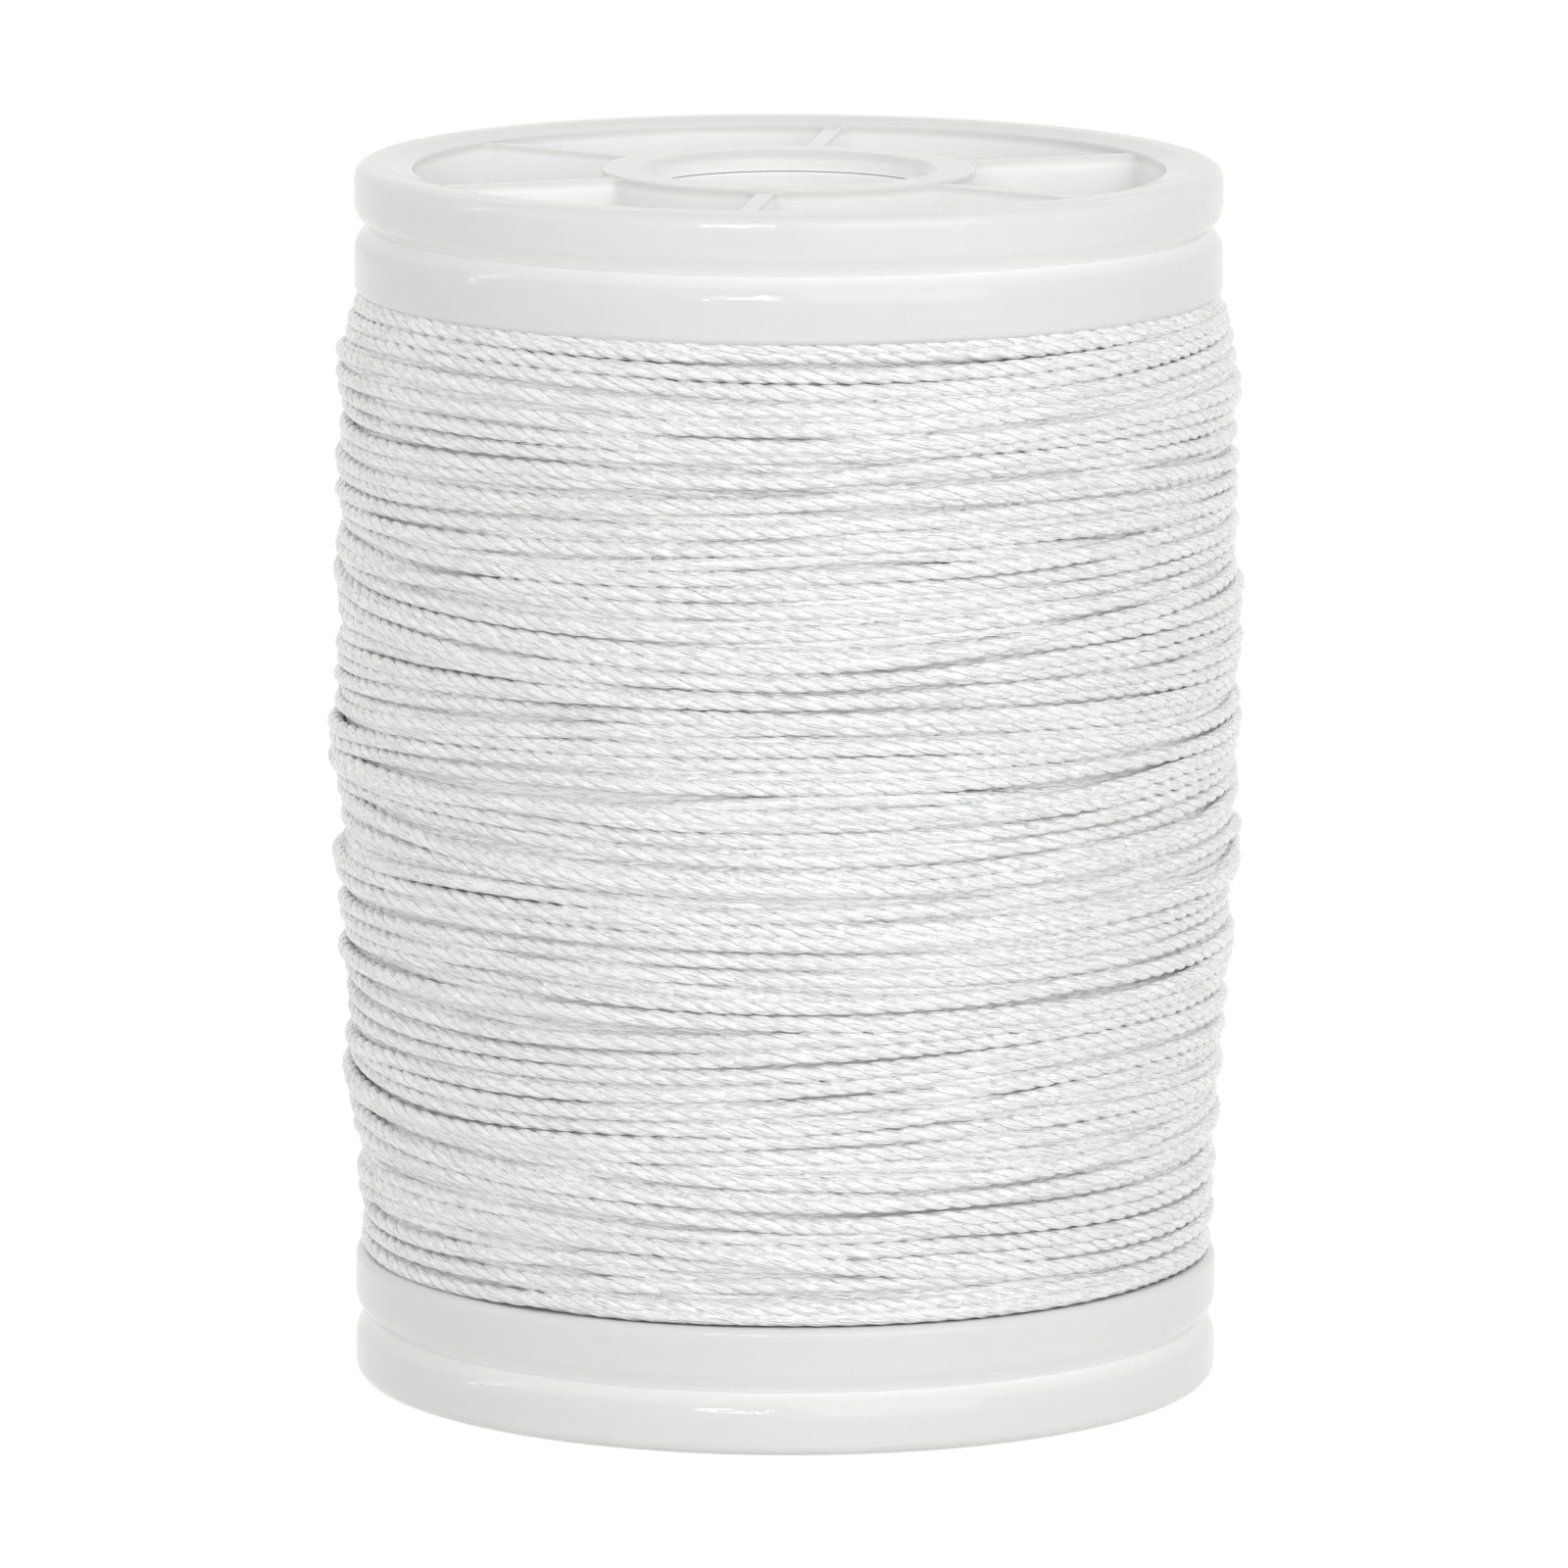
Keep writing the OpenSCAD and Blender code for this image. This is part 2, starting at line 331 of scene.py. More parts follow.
def rim_outline(s):
    """Closed (r, u) section of a cap's rim, u measured from the seam outwards.

    The second result numbers the points of its inner wall, from below.
    """
    recess, edge = s.rim_radius - s.rim_width, 0.12 * MM
    outline = rounded([
        (recess, 0, 2 * edge),
        (s.rim_radius - s.seam_depth, 0, edge / 3),
        (s.rim_radius, s.seam_depth, s.seam_rounding),
        (s.rim_radius, s.cap_rim, s.cap_rounding),
        (recess + s.margin_width, s.cap_rim, 2 * edge),
        (recess, s.cap_rim - s.margin_drop, edge),
    ])
    return outline, np.array([1, 0, len(outline) - 1, len(outline) - 2])


def hub_outline(s, wall):
    """Closed (r, u) section of a cap's hub: the collar over the neck and the lip at its mouth.

    wall holds the heights of the spokes' points on its outer wall. The second result numbers
    those points.
    """
    h = end_heights(s)
    edge = 0.12 * MM
    collar = s.bore + s.neck_wall + s.fit
    hub, under_lip = collar + s.collar_wall, h["hub_top"] - s.lip
    groove_low = h["bead_low"] - s.travel - s.play / 2
    groove_high = h["bead_high"] + s.play / 2
    foot = h["web_face"] + s.collar_foot
    corners = [
        (hub, foot, edge),
        (hub, h["hub_top"], edge),
        (s.bore + s.chamfer, h["hub_top"], edge / 2),
        (s.bore, h["hub_top"] - s.chamfer, edge / 2),
        (s.bore, under_lip, edge / 2),
        (collar, under_lip, edge / 3),
        (collar, groove_high, edge / 3),
        (collar + s.bead, groove_high, edge / 3),
        (collar + s.bead, groove_low, edge / 3),
        (collar, groove_low, edge / 3),
        (collar, foot, edge / 2),
    ]
    outline = rounded(corners)
    after_foot = len(outline) // len(corners)
    added = [(hub, wall[0]), (hub, wall[1])]
    outline = np.concatenate([outline[:after_foot], added, outline[after_foot:]])
    return outline, after_foot + np.arange(SPOKE_UP)


def spoke_places(half):
    """Places of a spoke's points across it, for its half width."""
    middle = np.linspace(-0.5, 0.5, SPOKE_ACROSS - 4) * half
    return np.concatenate([[-half, BRACE - half], middle, [half - BRACE, half]])


def wheel_angles(s, radius, half):
    """Angles round a wall of the wheel: the spokes' points and equal steps between spokes."""
    spread = np.arcsin(spoke_places(half) / radius)
    sector = TAU / s.spokes
    between = np.linspace(spread[-1], sector + spread[0], SPOKE_BETWEEN + 2)[1:-1]
    angles = np.concatenate([spread, between])
    turns = s.spoke_turn + np.arange(s.spokes) * sector
    return (turns[:, None] + angles[None, :]).ravel(), len(angles)


def cap_mesh(s, upside):
    """Points and faces of a locking cap at the top, or mirrored at the bottom.

    The rim and the hub are revolved, and each spoke is a tube that joins the two through
    openings of its own section in their walls, so that the whole cap is one closed surface.
    Within the flare's radius f of a wall, at a distance t from it, a spoke's half width grows by
    f - sqrt(f^2 - (f - t)^2), and its edges are rounded beyond that.
    """
    flare = 0.45 * MM
    half_at_wall = s.spoke / 2 + flare
    rim, rim_rows = rim_outline(s)
    hub, hub_rows = hub_outline(s, rim[rim_rows, 1])
    points, faces, loops, count = [], [], [], 0
    for outline, rows in ((hub, hub_rows), (rim, rim_rows)):
        angles, in_sector = wheel_angles(s, outline[rows[0], 0], half_at_wall)
        part, quads = revolved(outline, angles)
        opened = np.zeros(quads.shape[:2], bool)
        first = np.arange(s.spokes) * in_sector
        spans = np.minimum(rows[:-1], rows[1:])
        spans[np.abs(np.diff(rows)) > 1] = len(outline) - 1
        open_columns = (first[:, None] + np.arange(SPOKE_ACROSS - 1)).ravel()
        opened[open_columns[:, None], spans[None, :]] = True
        faces.append(quads[~opened] + count)
        places = (first[:, None] + SPOKE_COLUMNS[None, :]) * len(outline)
        loops.append(places + rows[SPOKE_ROWS][None, :] + count)
        points.append(part)
        count += len(part)

    wall_hub, wall_rim = hub[hub_rows[0], 0], rim[rim_rows[0], 0]
    bend = flare * (1 - np.cos(np.linspace(0, np.pi / 2, 8)))[1:]
    x = np.concatenate([wall_hub + bend, wall_rim - bend[::-1]])
    near = np.clip(np.minimum(x - wall_hub, wall_rim - x), 0, flare)
    half = s.spoke / 2 + flare - np.sqrt(np.maximum(flare**2 - (flare - near) ** 2, 0))
    y = np.array([spoke_places(h) for h in half])[:, SPOKE_COLUMNS]
    z = np.broadcast_to(hub[hub_rows, 1][SPOKE_ROWS], y.shape).copy()
    cut = 0.3 * BRACE * np.where(SPOKE_CORNER, near[:, None] / flare, 0)
    y -= np.sign(y) * cut
    z += np.where(SPOKE_ROWS == 0, cut, -cut)
    for k in range(s.spokes):
        angle = s.spoke_turn + k * TAU / s.spokes
        c, d = np.cos(angle), np.sin(angle)
        xx = np.broadcast_to(x[:, None], y.shape)
        points.append(np.stack([xx * c - y * d, xx * d + y * c, z], -1).reshape(-1, 3))
        own = count + np.arange(y.size).reshape(y.shape)
        index = np.concatenate([loops[0][k][None], own, loops[1][k][None]])
        faces.append(grid_faces(index, close_rows=False).reshape(-1, 4))
        count += y.size
    points, faces = np.concatenate(points), np.concatenate(faces)
    if upside:
        points[:, 2] += s.height - s.cap_rim
    else:
        points[:, 2] = s.cap_rim - points[:, 2]
        faces = faces[:, ::-1]
    return points, faces


# ---- winding


LAYERS = 2  # layers of turns that are laid one by one
TURN = 480  # points of the thread's line in a turn
TURN_STEP = TAU / TURN
STRETCH = TURN // 2  # points laid at a time
BLEND = TURN // 12  # points over which a stretch takes up the one before
AHEAD = BLEND + 10  # points tried beyond a stretch
JOIN = np.cos(np.pi / 2 * np.clip(np.arange(STRETCH + AHEAD) / (1.5 * BLEND), 0, 1)) ** 2
CELL = 0.04 * MM  # width of a column of the pile's map
BACK = 0.78  # height of a laid thread's back over its middle line, in thread radii
LAYER_STEP = 0.72 * MM  # radius that a layer adds
CLEAR = 0.02 * MM  # gap between a flange and the thread while it is wound
QUIET = 3 * MM  # distance from a flange over which drift and wander fade out
DRIFT_WAVES = 7  # slanting waves in a layer's drift
DRIFT_LENGTHS = (8 * MM, 30 * MM)  # shortest and longest of these waves, up the spool
SLIDES = np.linspace(-0.6, 0.6, 25) * MM  # slides that are tried
SLIDE_STEPS = 30
SLIDE_PACE = 0.06 * MM  # slide in a step on a slope of 1
LUMP_TURN, LUMP_UP = 7 * MM, 1.6 * MM  # size of the broad lumps, round and up the spool
LUMP_PULL = 0.8  # share of them that is taken away
PRESSED_PERCENT = 60  # share of the outer turns that ends below the envelope
PROUD_LIMIT = 0.4 * MM  # how far a turn may stand out
PRESS_REACH = 4 * MM  # distance from a flange over which turns press towards it
PRESS_TOP, PRESS_BOTTOM = 0.24 * MM, 0.28 * MM
TUCK_HEIGHT = 1.6 * MM  # height of the tuck beside the top flange
SHOULDER_BELOW = 2.1  # the shoulder's distance below the flange, in tuck heights


def over_thread(t, z):
    """Radius over the thread at a height: a straight run with a sine's belly.

    Below the top flange it swells by a bell exp(-x^2), and beside the flange it is tucked in by
    another, where x is the distance from the bell's middle in tuck heights.
    """
    share_up = (z - WOUND_LOW) / (WOUND_HIGH - WOUND_LOW)
    straight = t.bottom_proud + (t.top_proud - t.bottom_proud) * share_up
    below = (WOUND_HIGH - z) / TUCK_HEIGHT
    shoulder = t.shoulder * np.exp(-((below - SHOULDER_BELOW) ** 2))
    ends = shoulder - t.tuck * np.exp(-(below**2))
    return RIM_RADIUS + straight + t.belly * np.sin(np.pi * share_up) + ends


def wandering(random, count, span, size):
    """Smooth random values: cubic curves through normal draws that lie span points apart."""
    draws = random.normal(0, 1, int(count / span) + 6)
    x = np.linspace(1, len(draws) - 3.001, count)
    k = x.astype(int)
    f = x - k
    a, b, c, d = draws[k - 1], draws[k], draws[k + 1], draws[k + 2]
    bend = 2 * a - 5 * b + 4 * c - d + f * (3 * (b - c) + d - a)
    return size * (b + 0.5 * f * (c - a + f * bend))


def blurred(values, spread_turn, spread_up):
    """A map smoothed by two bells: across the turn, which closes, and up it, which doesn't."""
    pad = int(4 * spread_up)
    wide = np.pad(values, ((0, 0), (pad, pad)), mode="edge")
    turns, ups = np.fft.fftfreq(wide.shape[0]), np.fft.rfftfreq(wide.shape[1])
    damp_turn = np.exp(-2 * (np.pi * spread_turn * turns) ** 2)
    damp_up = np.exp(-2 * (np.pi * spread_up * ups) ** 2)
    bells = np.fft.rfft2(wide) * damp_turn[:, None] * damp_up[None, :]
    return np.fft.irfft2(bells, wide.shape)[:, pad:-pad]


def smooth_step(x):
    """0 below 0 and 1 above 1, with 3 x^2 - 2 x^3 between."""
    x = np.clip(x, 0, 1)
    return x**2 * (3 - 2 * x)


def taut(heights):
    """The least line over the given heights that bends only outwards, as a pulled thread lies.

    Each point is lifted to the middle of the points before and after it, over spans that
    shrink from 24 points to one, three times over.
    """
    for span in (24, 12, 6, 3, 1) * 3:
        lifted = heights.copy()
        middle = (heights[: -2 * span] + heights[2 * span :]) / 2
        lifted[span:-span] = np.maximum(heights[span:-span], middle)
        heights = lifted
    return heights


class Pile:
    """A map of the radius over what is wound so far, by the point in the turn and the height.

    A thread laid on it has a round back: at a distance d along the spool it reaches
    back * sqrt(1 - (d / half_width)^2) over its own middle line.
    """

    def __init__(self, t):
        self.up = np.arange(WOUND_LOW, WOUND_HIGH + CELL / 2, CELL)
        self.half_width = t.squeeze * t.radius
        self.back = BACK * t.radius
        ground = over_thread(t, self.up) - t.radius - LAYERS * LAYER_STEP
        self.radii = np.tile(ground, (TURN, 1))
        reach = int(np.ceil(self.half_width / CELL))
        self.across = np.arange(-reach, reach + 1)

    def over_line(self, distance):
        """How far the round back stands over the middle line at a distance from it."""
        return self.back * np.sqrt(np.maximum(1 - (distance / self.half_width) ** 2, 0))

    def cells(self, heights):
        """The map's columns under a thread at the given heights."""
        middle = np.rint((heights - WOUND_LOW) / CELL).astype(int)
        return middle[..., None] + self.across

    def carries(self, rows, heights):
        """Radius at which a thread at the given heights touches the pile."""
        cells = np.clip(self.cells(heights), 0, len(self.up) - 1)
        rows = rows.reshape(-1, *[1] * (cells.ndim - 1))
        return (self.radii[rows, cells] + self.over_line(self.across * CELL)).max(axis=-1)

    def add(self, rows, heights, radii):
        """Adds the round back of a laid stretch to the map."""
        cells = self.cells(heights)
        inside = np.clip(cells, 0, len(self.up) - 1)
        off = self.up[inside] - heights[:, None]
        top = radii[:, None] + self.over_line(off)
        top = np.where((cells == inside) & (np.abs(off) < self.half_width), top, 0)
        rows = np.broadcast_to(rows[:, None], cells.shape)
        np.maximum.at(self.radii, (rows, inside), top)

    def lumps(self, t, rows, heights):
        """The pile's broad lumps over the envelope, at the given places."""
        proud = self.radii - over_thread(t, self.up)
        smooth = blurred(proud, LUMP_TURN / (RIM_RADIUS * TURN_STEP), LUMP_UP / CELL)
        cells = np.rint((heights - WOUND_LOW) / CELL).astype(int)
        return smooth[rows, np.clip(cells, 0, len(self.up) - 1)]


def wanted_heights(t, turns, low, high, count):
    """Heights the thread is led to: up and down the spool, with a drift and a wander.

    A layer's drift is a sum of slanting waves, which neighbouring turns share. The wander is
    each turn's own. Both fade out beside the flanges.
    """
    random = np.random.default_rng(t.seed)
    run = np.arange(count) / TURN / turns
    part = run % 2
    part = np.where(part < 1, part, 2 - part)
    if LAYERS % 2 == 0:
        part = 1 - part
    wanted = low + (high - low) * part
    angle = np.arange(count) * TAU / TURN
    drift = np.zeros(count)
    for layer in range(LAYERS):
        inside = np.minimum(run.astype(int), LAYERS - 1) == layer
        for _ in range(DRIFT_WAVES):
            waves = random.integers(1, 4)
            slant = TAU / random.uniform(*DRIFT_LENGTHS) * random.choice([-1, 1])
            phase = random.uniform(0, TAU)
            ripple = np.sin(waves * angle[inside] + slant * wanted[inside] + phase)
            drift[inside] += 0.5 * t.drift * ripple
    near_flange = np.minimum(1, np.minimum(wanted - low, high - wanted) / QUIET)
    wander = wandering(random, count, 0.55 * TURN, t.wander)
    wander += wandering(random, count, 0.2 * TURN, t.wander / 4)
    return np.clip(wanted + (drift + wander) * near_flange, low, high)


def bell(size):
    """Weights of a smooth bell."""
    weights = np.hanning(size + 2)[1:-1]
    return weights / weights.sum()


def smoothed(before, values, weights):
    """Values smoothed by a bell, with what comes before them and their last value after them."""
    pad = len(before)
    padded = np.concatenate([before, values, np.full(pad, values[-1])])
    return np.convolve(padded, weights, "same")[pad:-pad]


def slid(support, history):
    """How far the thread slides along the spool, down the slopes of what carries it.

    support is the radius carried at each of the SLIDES, and history holds the slides before. In
    every step the thread goes down the slope, is drawn back a little and is smoothed.
    """
    gap = SLIDES[1] - SLIDES[0]
    point = np.arange(len(support))
    slide = history[-1] * np.exp(-point / (1.5 * BLEND))
    for _ in range(SLIDE_STEPS):
        place = (np.clip(slide, SLIDES[0], SLIDES[-1]) - SLIDES[0]) / gap
        k = np.clip(place.astype(int), 1, len(SLIDES) - 3)
        slope = (support[point, k + 2] - support[point, k - 1]) / (3 * gap)
        slide = slide - SLIDE_PACE * np.clip(slope, -1.5, 1.5) - 0.005 * slide
        slide = smoothed(history, slide, bell(2 * BLEND + 1))
    slide = np.clip(slide, SLIDES[0], SLIDES[-1])
    return slide + (2 * history[-1] - history[-2] - slide[0]) * JOIN


def pulled(carried, laid):
    """Radii of the thread pulled taut over what carries it, going on from the radii laid.

    A circle of radius R falls away from its tangent by R a^2 / 2 at an angle a. This bow is
    taken off before the line is made taut, and put back after.
    """
    bow = 0.5 * carried.mean() * (np.arange(-BLEND, len(carried)) * TURN_STEP) ** 2
    before = laid[-BLEND:] if len(laid) else np.full(BLEND, carried[0])
    radii = (taut(np.concatenate([before, carried]) - bow) + bow)[BLEND:]
    if len(laid):
        radii += (2 * laid[-1] - laid[-2] - radii[0]) * JOIN
    before = laid[-5:] if len(laid) else np.full(5, radii[0])
    return smoothed(before, radii, bell(9))


def pressed(t, heights, low, high):
    """How far the turns beside each flange press onto its rounded edge.

    At the bottom they lie level along it, and climb to the next turn at the back.
    """
    climb = smooth_step(1 - (high - heights) / PRESS_REACH)
    sink = smooth_step(1 - (heights - low) / PRESS_REACH)
    share_round = np.arange(len(heights)) / TURN % 1
    level = share_round * (1 - smooth_step((share_round - 0.8) / 0.2))
    return PRESS_TOP * climb - (PRESS_BOTTOM + t.pitch * level) * sink


def wind(t):
    """The thread's middle line over the outer layers: heights, radii and turns in a layer.

    The thread is laid half a turn at a time. It slides down the slopes of the pile, is pulled
    taut over what still carries it, and its round back is added to the pile. At the end the
    pile is drawn towards the envelope, without changing what lies on what, and pressed in.
    """
    low, high = WOUND_LOW + t.radius + CLEAR, WOUND_HIGH - t.radius - CLEAR
    turns = int(round((high - low) / t.pitch))
    total = LAYERS * turns * TURN
    wanted = wanted_heights(t, turns, low, high, total + AHEAD + 2)
    pile = Pile(t)
    heights, radii = np.zeros(total), np.zeros(total)
    history = np.zeros(BLEND)
    for start in range(0, total, STRETCH):
        index = np.arange(start, start + STRETCH + AHEAD)
        rows = index % TURN
        trials = np.clip(wanted[index, None] + SLIDES, low, high)
        slide = slid(pile.carries(rows, trials), history)
        height = np.clip(wanted[index] + slide, low, high)
        radius = pulled(pile.carries(rows, height), radii[:start])
        kept = slice(0, min(STRETCH, total - start))
        at = slice(start, start + kept.stop)
        heights[at], radii[at] = height[kept], radius[kept]
        pile.add(rows[kept], height[kept], radius[kept])
        history = np.concatenate([history, slide[kept]])[-BLEND:]

    outer = slice(total - turns * TURN, total)
    radii -= LUMP_PULL * pile.lumps(t, np.arange(total) % TURN, heights)
    proud = radii + t.radius - over_thread(t, heights)
    proud = t.flatten * (proud - np.percentile(proud[outer], PRESSED_PERCENT))
    proud = np.where(proud > 0, PROUD_LIMIT * np.tanh(proud / PROUD_LIMIT), proud)
    radii = over_thread(t, heights) - t.radius + proud
    heights[outer] += pressed(t, heights, low, high)[outer]
    return heights, radii, turns


TWIST_WAVES = (3.3, 7.9)  # lengths of the uneven twist's two waves, in lays
FILAMENT_LAY = 3.2  # length in which the filaments turn once round within the plies, in lays
# Name, points in a step, points round the thread and pieces of each layer of turns
LAYER_PIECES = (("under_turns", 2, 9, 2), ("outer_turns", 1, 18, 6))


def strand(t, heights, radii, rows, sides, along):
    """A stretch of twisted thread, closed at both ends.

    The line is at (r cos a, r sin a, z) at each of the rows. Across it, the thread's edge at an
    angle b within a ply lies p cos b + sqrt(q^2 - p^2 sin^2 b) from the middle, for a ply of
    radius q = R - p whose middle is p out. The section turns once in each lay, and two sines
    let it run ahead or behind. The straightened coordinates are the length along the thread
    and the place across it, turned with the filaments. The last result marks the valleys
    between plies.
    """
    angle = rows * TAU / TURN + np.pi / 2
    line = np.stack([radii[rows] * np.cos(angle), radii[rows] * np.sin(angle), heights[rows]], -1)
    ahead = np.gradient(line, axis=0)
    ahead /= np.linalg.norm(ahead, axis=1, keepdims=True)
    out = np.stack([np.cos(angle), np.sin(angle), 0 * angle], -1)
    side = np.cross(ahead, out)
    side /= np.linalg.norm(side, axis=1, keepdims=True)
    out = np.cross(side, ahead)
    s = along[rows, None]
    column = np.arange(sides) * TAU / sides
    within = (column + np.pi / 3) % (TAU / 3) - np.pi / 3
    p = t.ply_offset * t.radius
    edge = p * np.cos(within) + np.sqrt((t.radius - p) ** 2 - (p * np.sin(within)) ** 2)
    short, long = (TAU * s / (lays * t.lay) for lays in TWIST_WAVES)
    turn = column[None, :] - TAU * s / t.lay
    turn = turn + t.uneven_twist * (np.sin(short) + np.sin(long + 1))
    across, up = edge * np.cos(turn), edge * np.sin(turn)
    points = line[:, None] + across[..., None] * out[:, None] - up[..., None] * side[:, None]
    filament = turn + TAU * s / (FILAMENT_LAY * t.lay)
    straight = np.stack([s + 0 * turn, edge * np.cos(filament), edge * np.sin(filament)], -1)
    index = np.arange(len(points) * sides).reshape(len(points), sides)
    faces = [grid_faces(index, close_rows=False).reshape(-1, 4), index[:1], index[-1:, ::-1]]
    valleys = np.zeros(index.shape, bool)
    valleys[:, np.abs(np.abs(within) - np.pi / 3) < 0.01] = True
    return points.reshape(-1, 3), faces, straight.reshape(-1, 3), valleys.ravel()


def inner_layers(s, t):
    """The layers under the laid turns as one revolved body: points, faces and their straight."""
    z = np.linspace(WOUND_HIGH - WOUND_GAP, WOUND_LOW + WOUND_GAP, 60)
    inner = s.bore + s.barrel_wall + WOUND_GAP
    outer = np.stack([over_thread(t, z) - t.bed, z], -1)
    outline = np.concatenate([[[inner, z[-1]]], outer[::-1], [[inner, z[0]]]])
    points, faces = revolved(outline, all_round(192))
    angle = np.arctan2(points[:, 1], points[:, 0])
    straight = np.stack([angle * RIM_RADIUS, points[:, 2], 0 * angle], -1)
    return points, [faces.reshape(-1, 4)], straight


# ---- materials


def settle(node, values):
    """Sets a node's own sockets, by their names."""
    for key, value in values.items():
        node.inputs[key].default_value = value


class Nodes:
    """Short hand for one material's node tree."""

    def __init__(self, name):
        self.material = bpy.data.materials.new(name)
        self.material.use_nodes = True
        self.tree = self.material.node_tree
        self.shader = self.tree.nodes["Principled BSDF"]

    def add(self, kind, **settings):
        """A new node with its settings."""
        node = self.tree.nodes.new("ShaderNode" + kind)
        for key, value in settings.items():
            setattr(node, key, value)
        return node

    def link(self, source, target):
        """Links two sockets."""
        self.tree.links.new(source, target)

    def noise(self, vector, scale, detail=3.0, stretch=(1, 1, 1), roughness=0.5):
        """Soft noise of a scale over a place, whose axes are stretched first."""
        mapping = self.add("Mapping")
        settle(mapping, {"Scale": stretch})
        self.link(vector, mapping.inputs["Vector"])
        noise = self.add("TexNoise")
        settle(noise, {"Scale": scale, "Detail": detail, "Roughness": roughness})
        self.link(mapping.outputs["Vector"], noise.inputs["Vector"])
        return noise.outputs["Fac"]

    def ramp(self, value, low, high, dark, light):
        """Maps value from low..high to dark..light, numbers or colours."""
        if isinstance(dark, (int, float)):
            node = self.add("MapRange")
            settle(node, {"From Min": low, "From Max": high, "To Min": dark, "To Max": light})
            self.link(value, node.inputs["Value"])
            return node.outputs["Result"]
        node = self.add("ValToRGB")
        for stop, place, colour in zip(node.color_ramp.elements, (low, high), (dark, light)):
            stop.position = place
            stop.color = (*colour, 1)
        self.link(value, node.inputs["Fac"])
        return node.outputs["Color"]

    def math(self, operation, first, second=None):
        """A sum on one or two values, each a link, the second perhaps a number."""
        node = self.add("Math", operation=operation)
        self.link(first, node.inputs[0])
        if isinstance(second, (int, float)):
            node.inputs[1].default_value = second
        elif second is not None:
            self.link(second, node.inputs[1])
        return node.outputs[0]

    def apart(self, value, middle):
        """How far a value is from a middle, on either side."""
        return self.math("ABSOLUTE", self.math("SUBTRACT", value, middle))

    def emission(self, strength):
        """White light of its own."""
        node = self.add("Emission")
        settle(node, {"Strength": strength})
        return node.outputs[0]

    def joined(self, kind, first, second, share_of_second=None):
        """Two shaders added, or mixed by the share of the second."""
        node = self.add(kind)
        self.link(first, node.inputs[-2])
        self.link(second, node.inputs[-1])
        if share_of_second is not None:
            node.inputs[0].default_value = share_of_second
        return node.outputs[0]

    def mixed(self, under, over, factor):
        """Multiplies two colours, as far as the factor, a number or a link, says."""
        node = self.add("Mix", data_type="RGBA", blend_type="MULTIPLY")
        if isinstance(factor, float):
            node.inputs["Factor"].default_value = factor
        else:
            self.link(factor, node.inputs["Factor"])
        self.link(under, node.inputs[6])
        self.link(over, node.inputs[7])
        return node.outputs[2]

    def bump(self, height, distance):
        """The skin's lie where a height of 1 stands out by the distance."""
        node = self.add("Bump")
        settle(node, {"Distance": distance})
        self.link(height, node.inputs["Height"])
        return node.outputs["Normal"]


def plastic_masks(n, place, s):
    """Where the plastic's colour is painted lighter, as painted light, and where the shallow light
    under its skin is lost.

    Both are 1 at the joint of neck and lip in the mouth, and along the seam, where the painted
    light lifts the shade.
    The painted light also covers everything inside the rims below their tops, standing in for
    light that gets through the walls. Shallow light is lost along the flange's edge at the thread
    too. The height used is
    |z - H / 2|, and the radius is sqrt(x^2 + y^2).
    """
    flat = n.add("VectorMath", operation="MULTIPLY")
    flat.inputs[1].default_value = (1, 1, 0)
    n.link(place, flat.inputs[0])
    measure = n.add("VectorMath", operation="LENGTH")
    n.link(flat.outputs[0], measure.inputs[0])
    radius = measure.outputs["Value"]
    split = n.add("SeparateXYZ")
    n.link(place, split.inputs[0])
    half, recess = s.height / 2, s.rim_radius - s.rim_width
    seam, mouth = half - s.cap_rim, half - s.margin_drop - s.lip
    up = n.apart(split.outputs["Z"], half)
    inside = n.ramp(radius, recess + 0.15 * MM, recess + 0.4 * MM, 1, 0)
    outside = n.ramp(radius, s.bore, s.bore + 0.8 * MM, 0.5, 1)
    below = n.ramp(up, half - 0.8 * MM, half - 0.5 * MM, 1, 0)
    beside_seam = n.ramp(n.apart(up, seam), 0, 0.7 * MM, 0.9, 0)
    walls = n.math("MULTIPLY", n.math("MULTIPLY", inside, outside), below)
    hub = n.ramp(radius, s.bore + 2 * MM, s.bore + 2.2 * MM, 1, 0)
    joint = n.math("MULTIPLY", n.ramp(n.apart(up, mouth), 0, 0.6 * MM, 0.9, 0), hub)
    beside = n.math("MAXIMUM", beside_seam, joint)
    # painted light mask: the walls inside the rims, the seam and the mouth joint, where the colour
    # is painted lighter
    painted_light = n.math("MAXIMUM", walls, beside)
    edge = n.ramp(n.apart(up, seam - s.flange_rim), 0.1 * MM, 0.6 * MM, 0.9, 0)
    return painted_light, n.math("MAXIMUM", beside, edge)


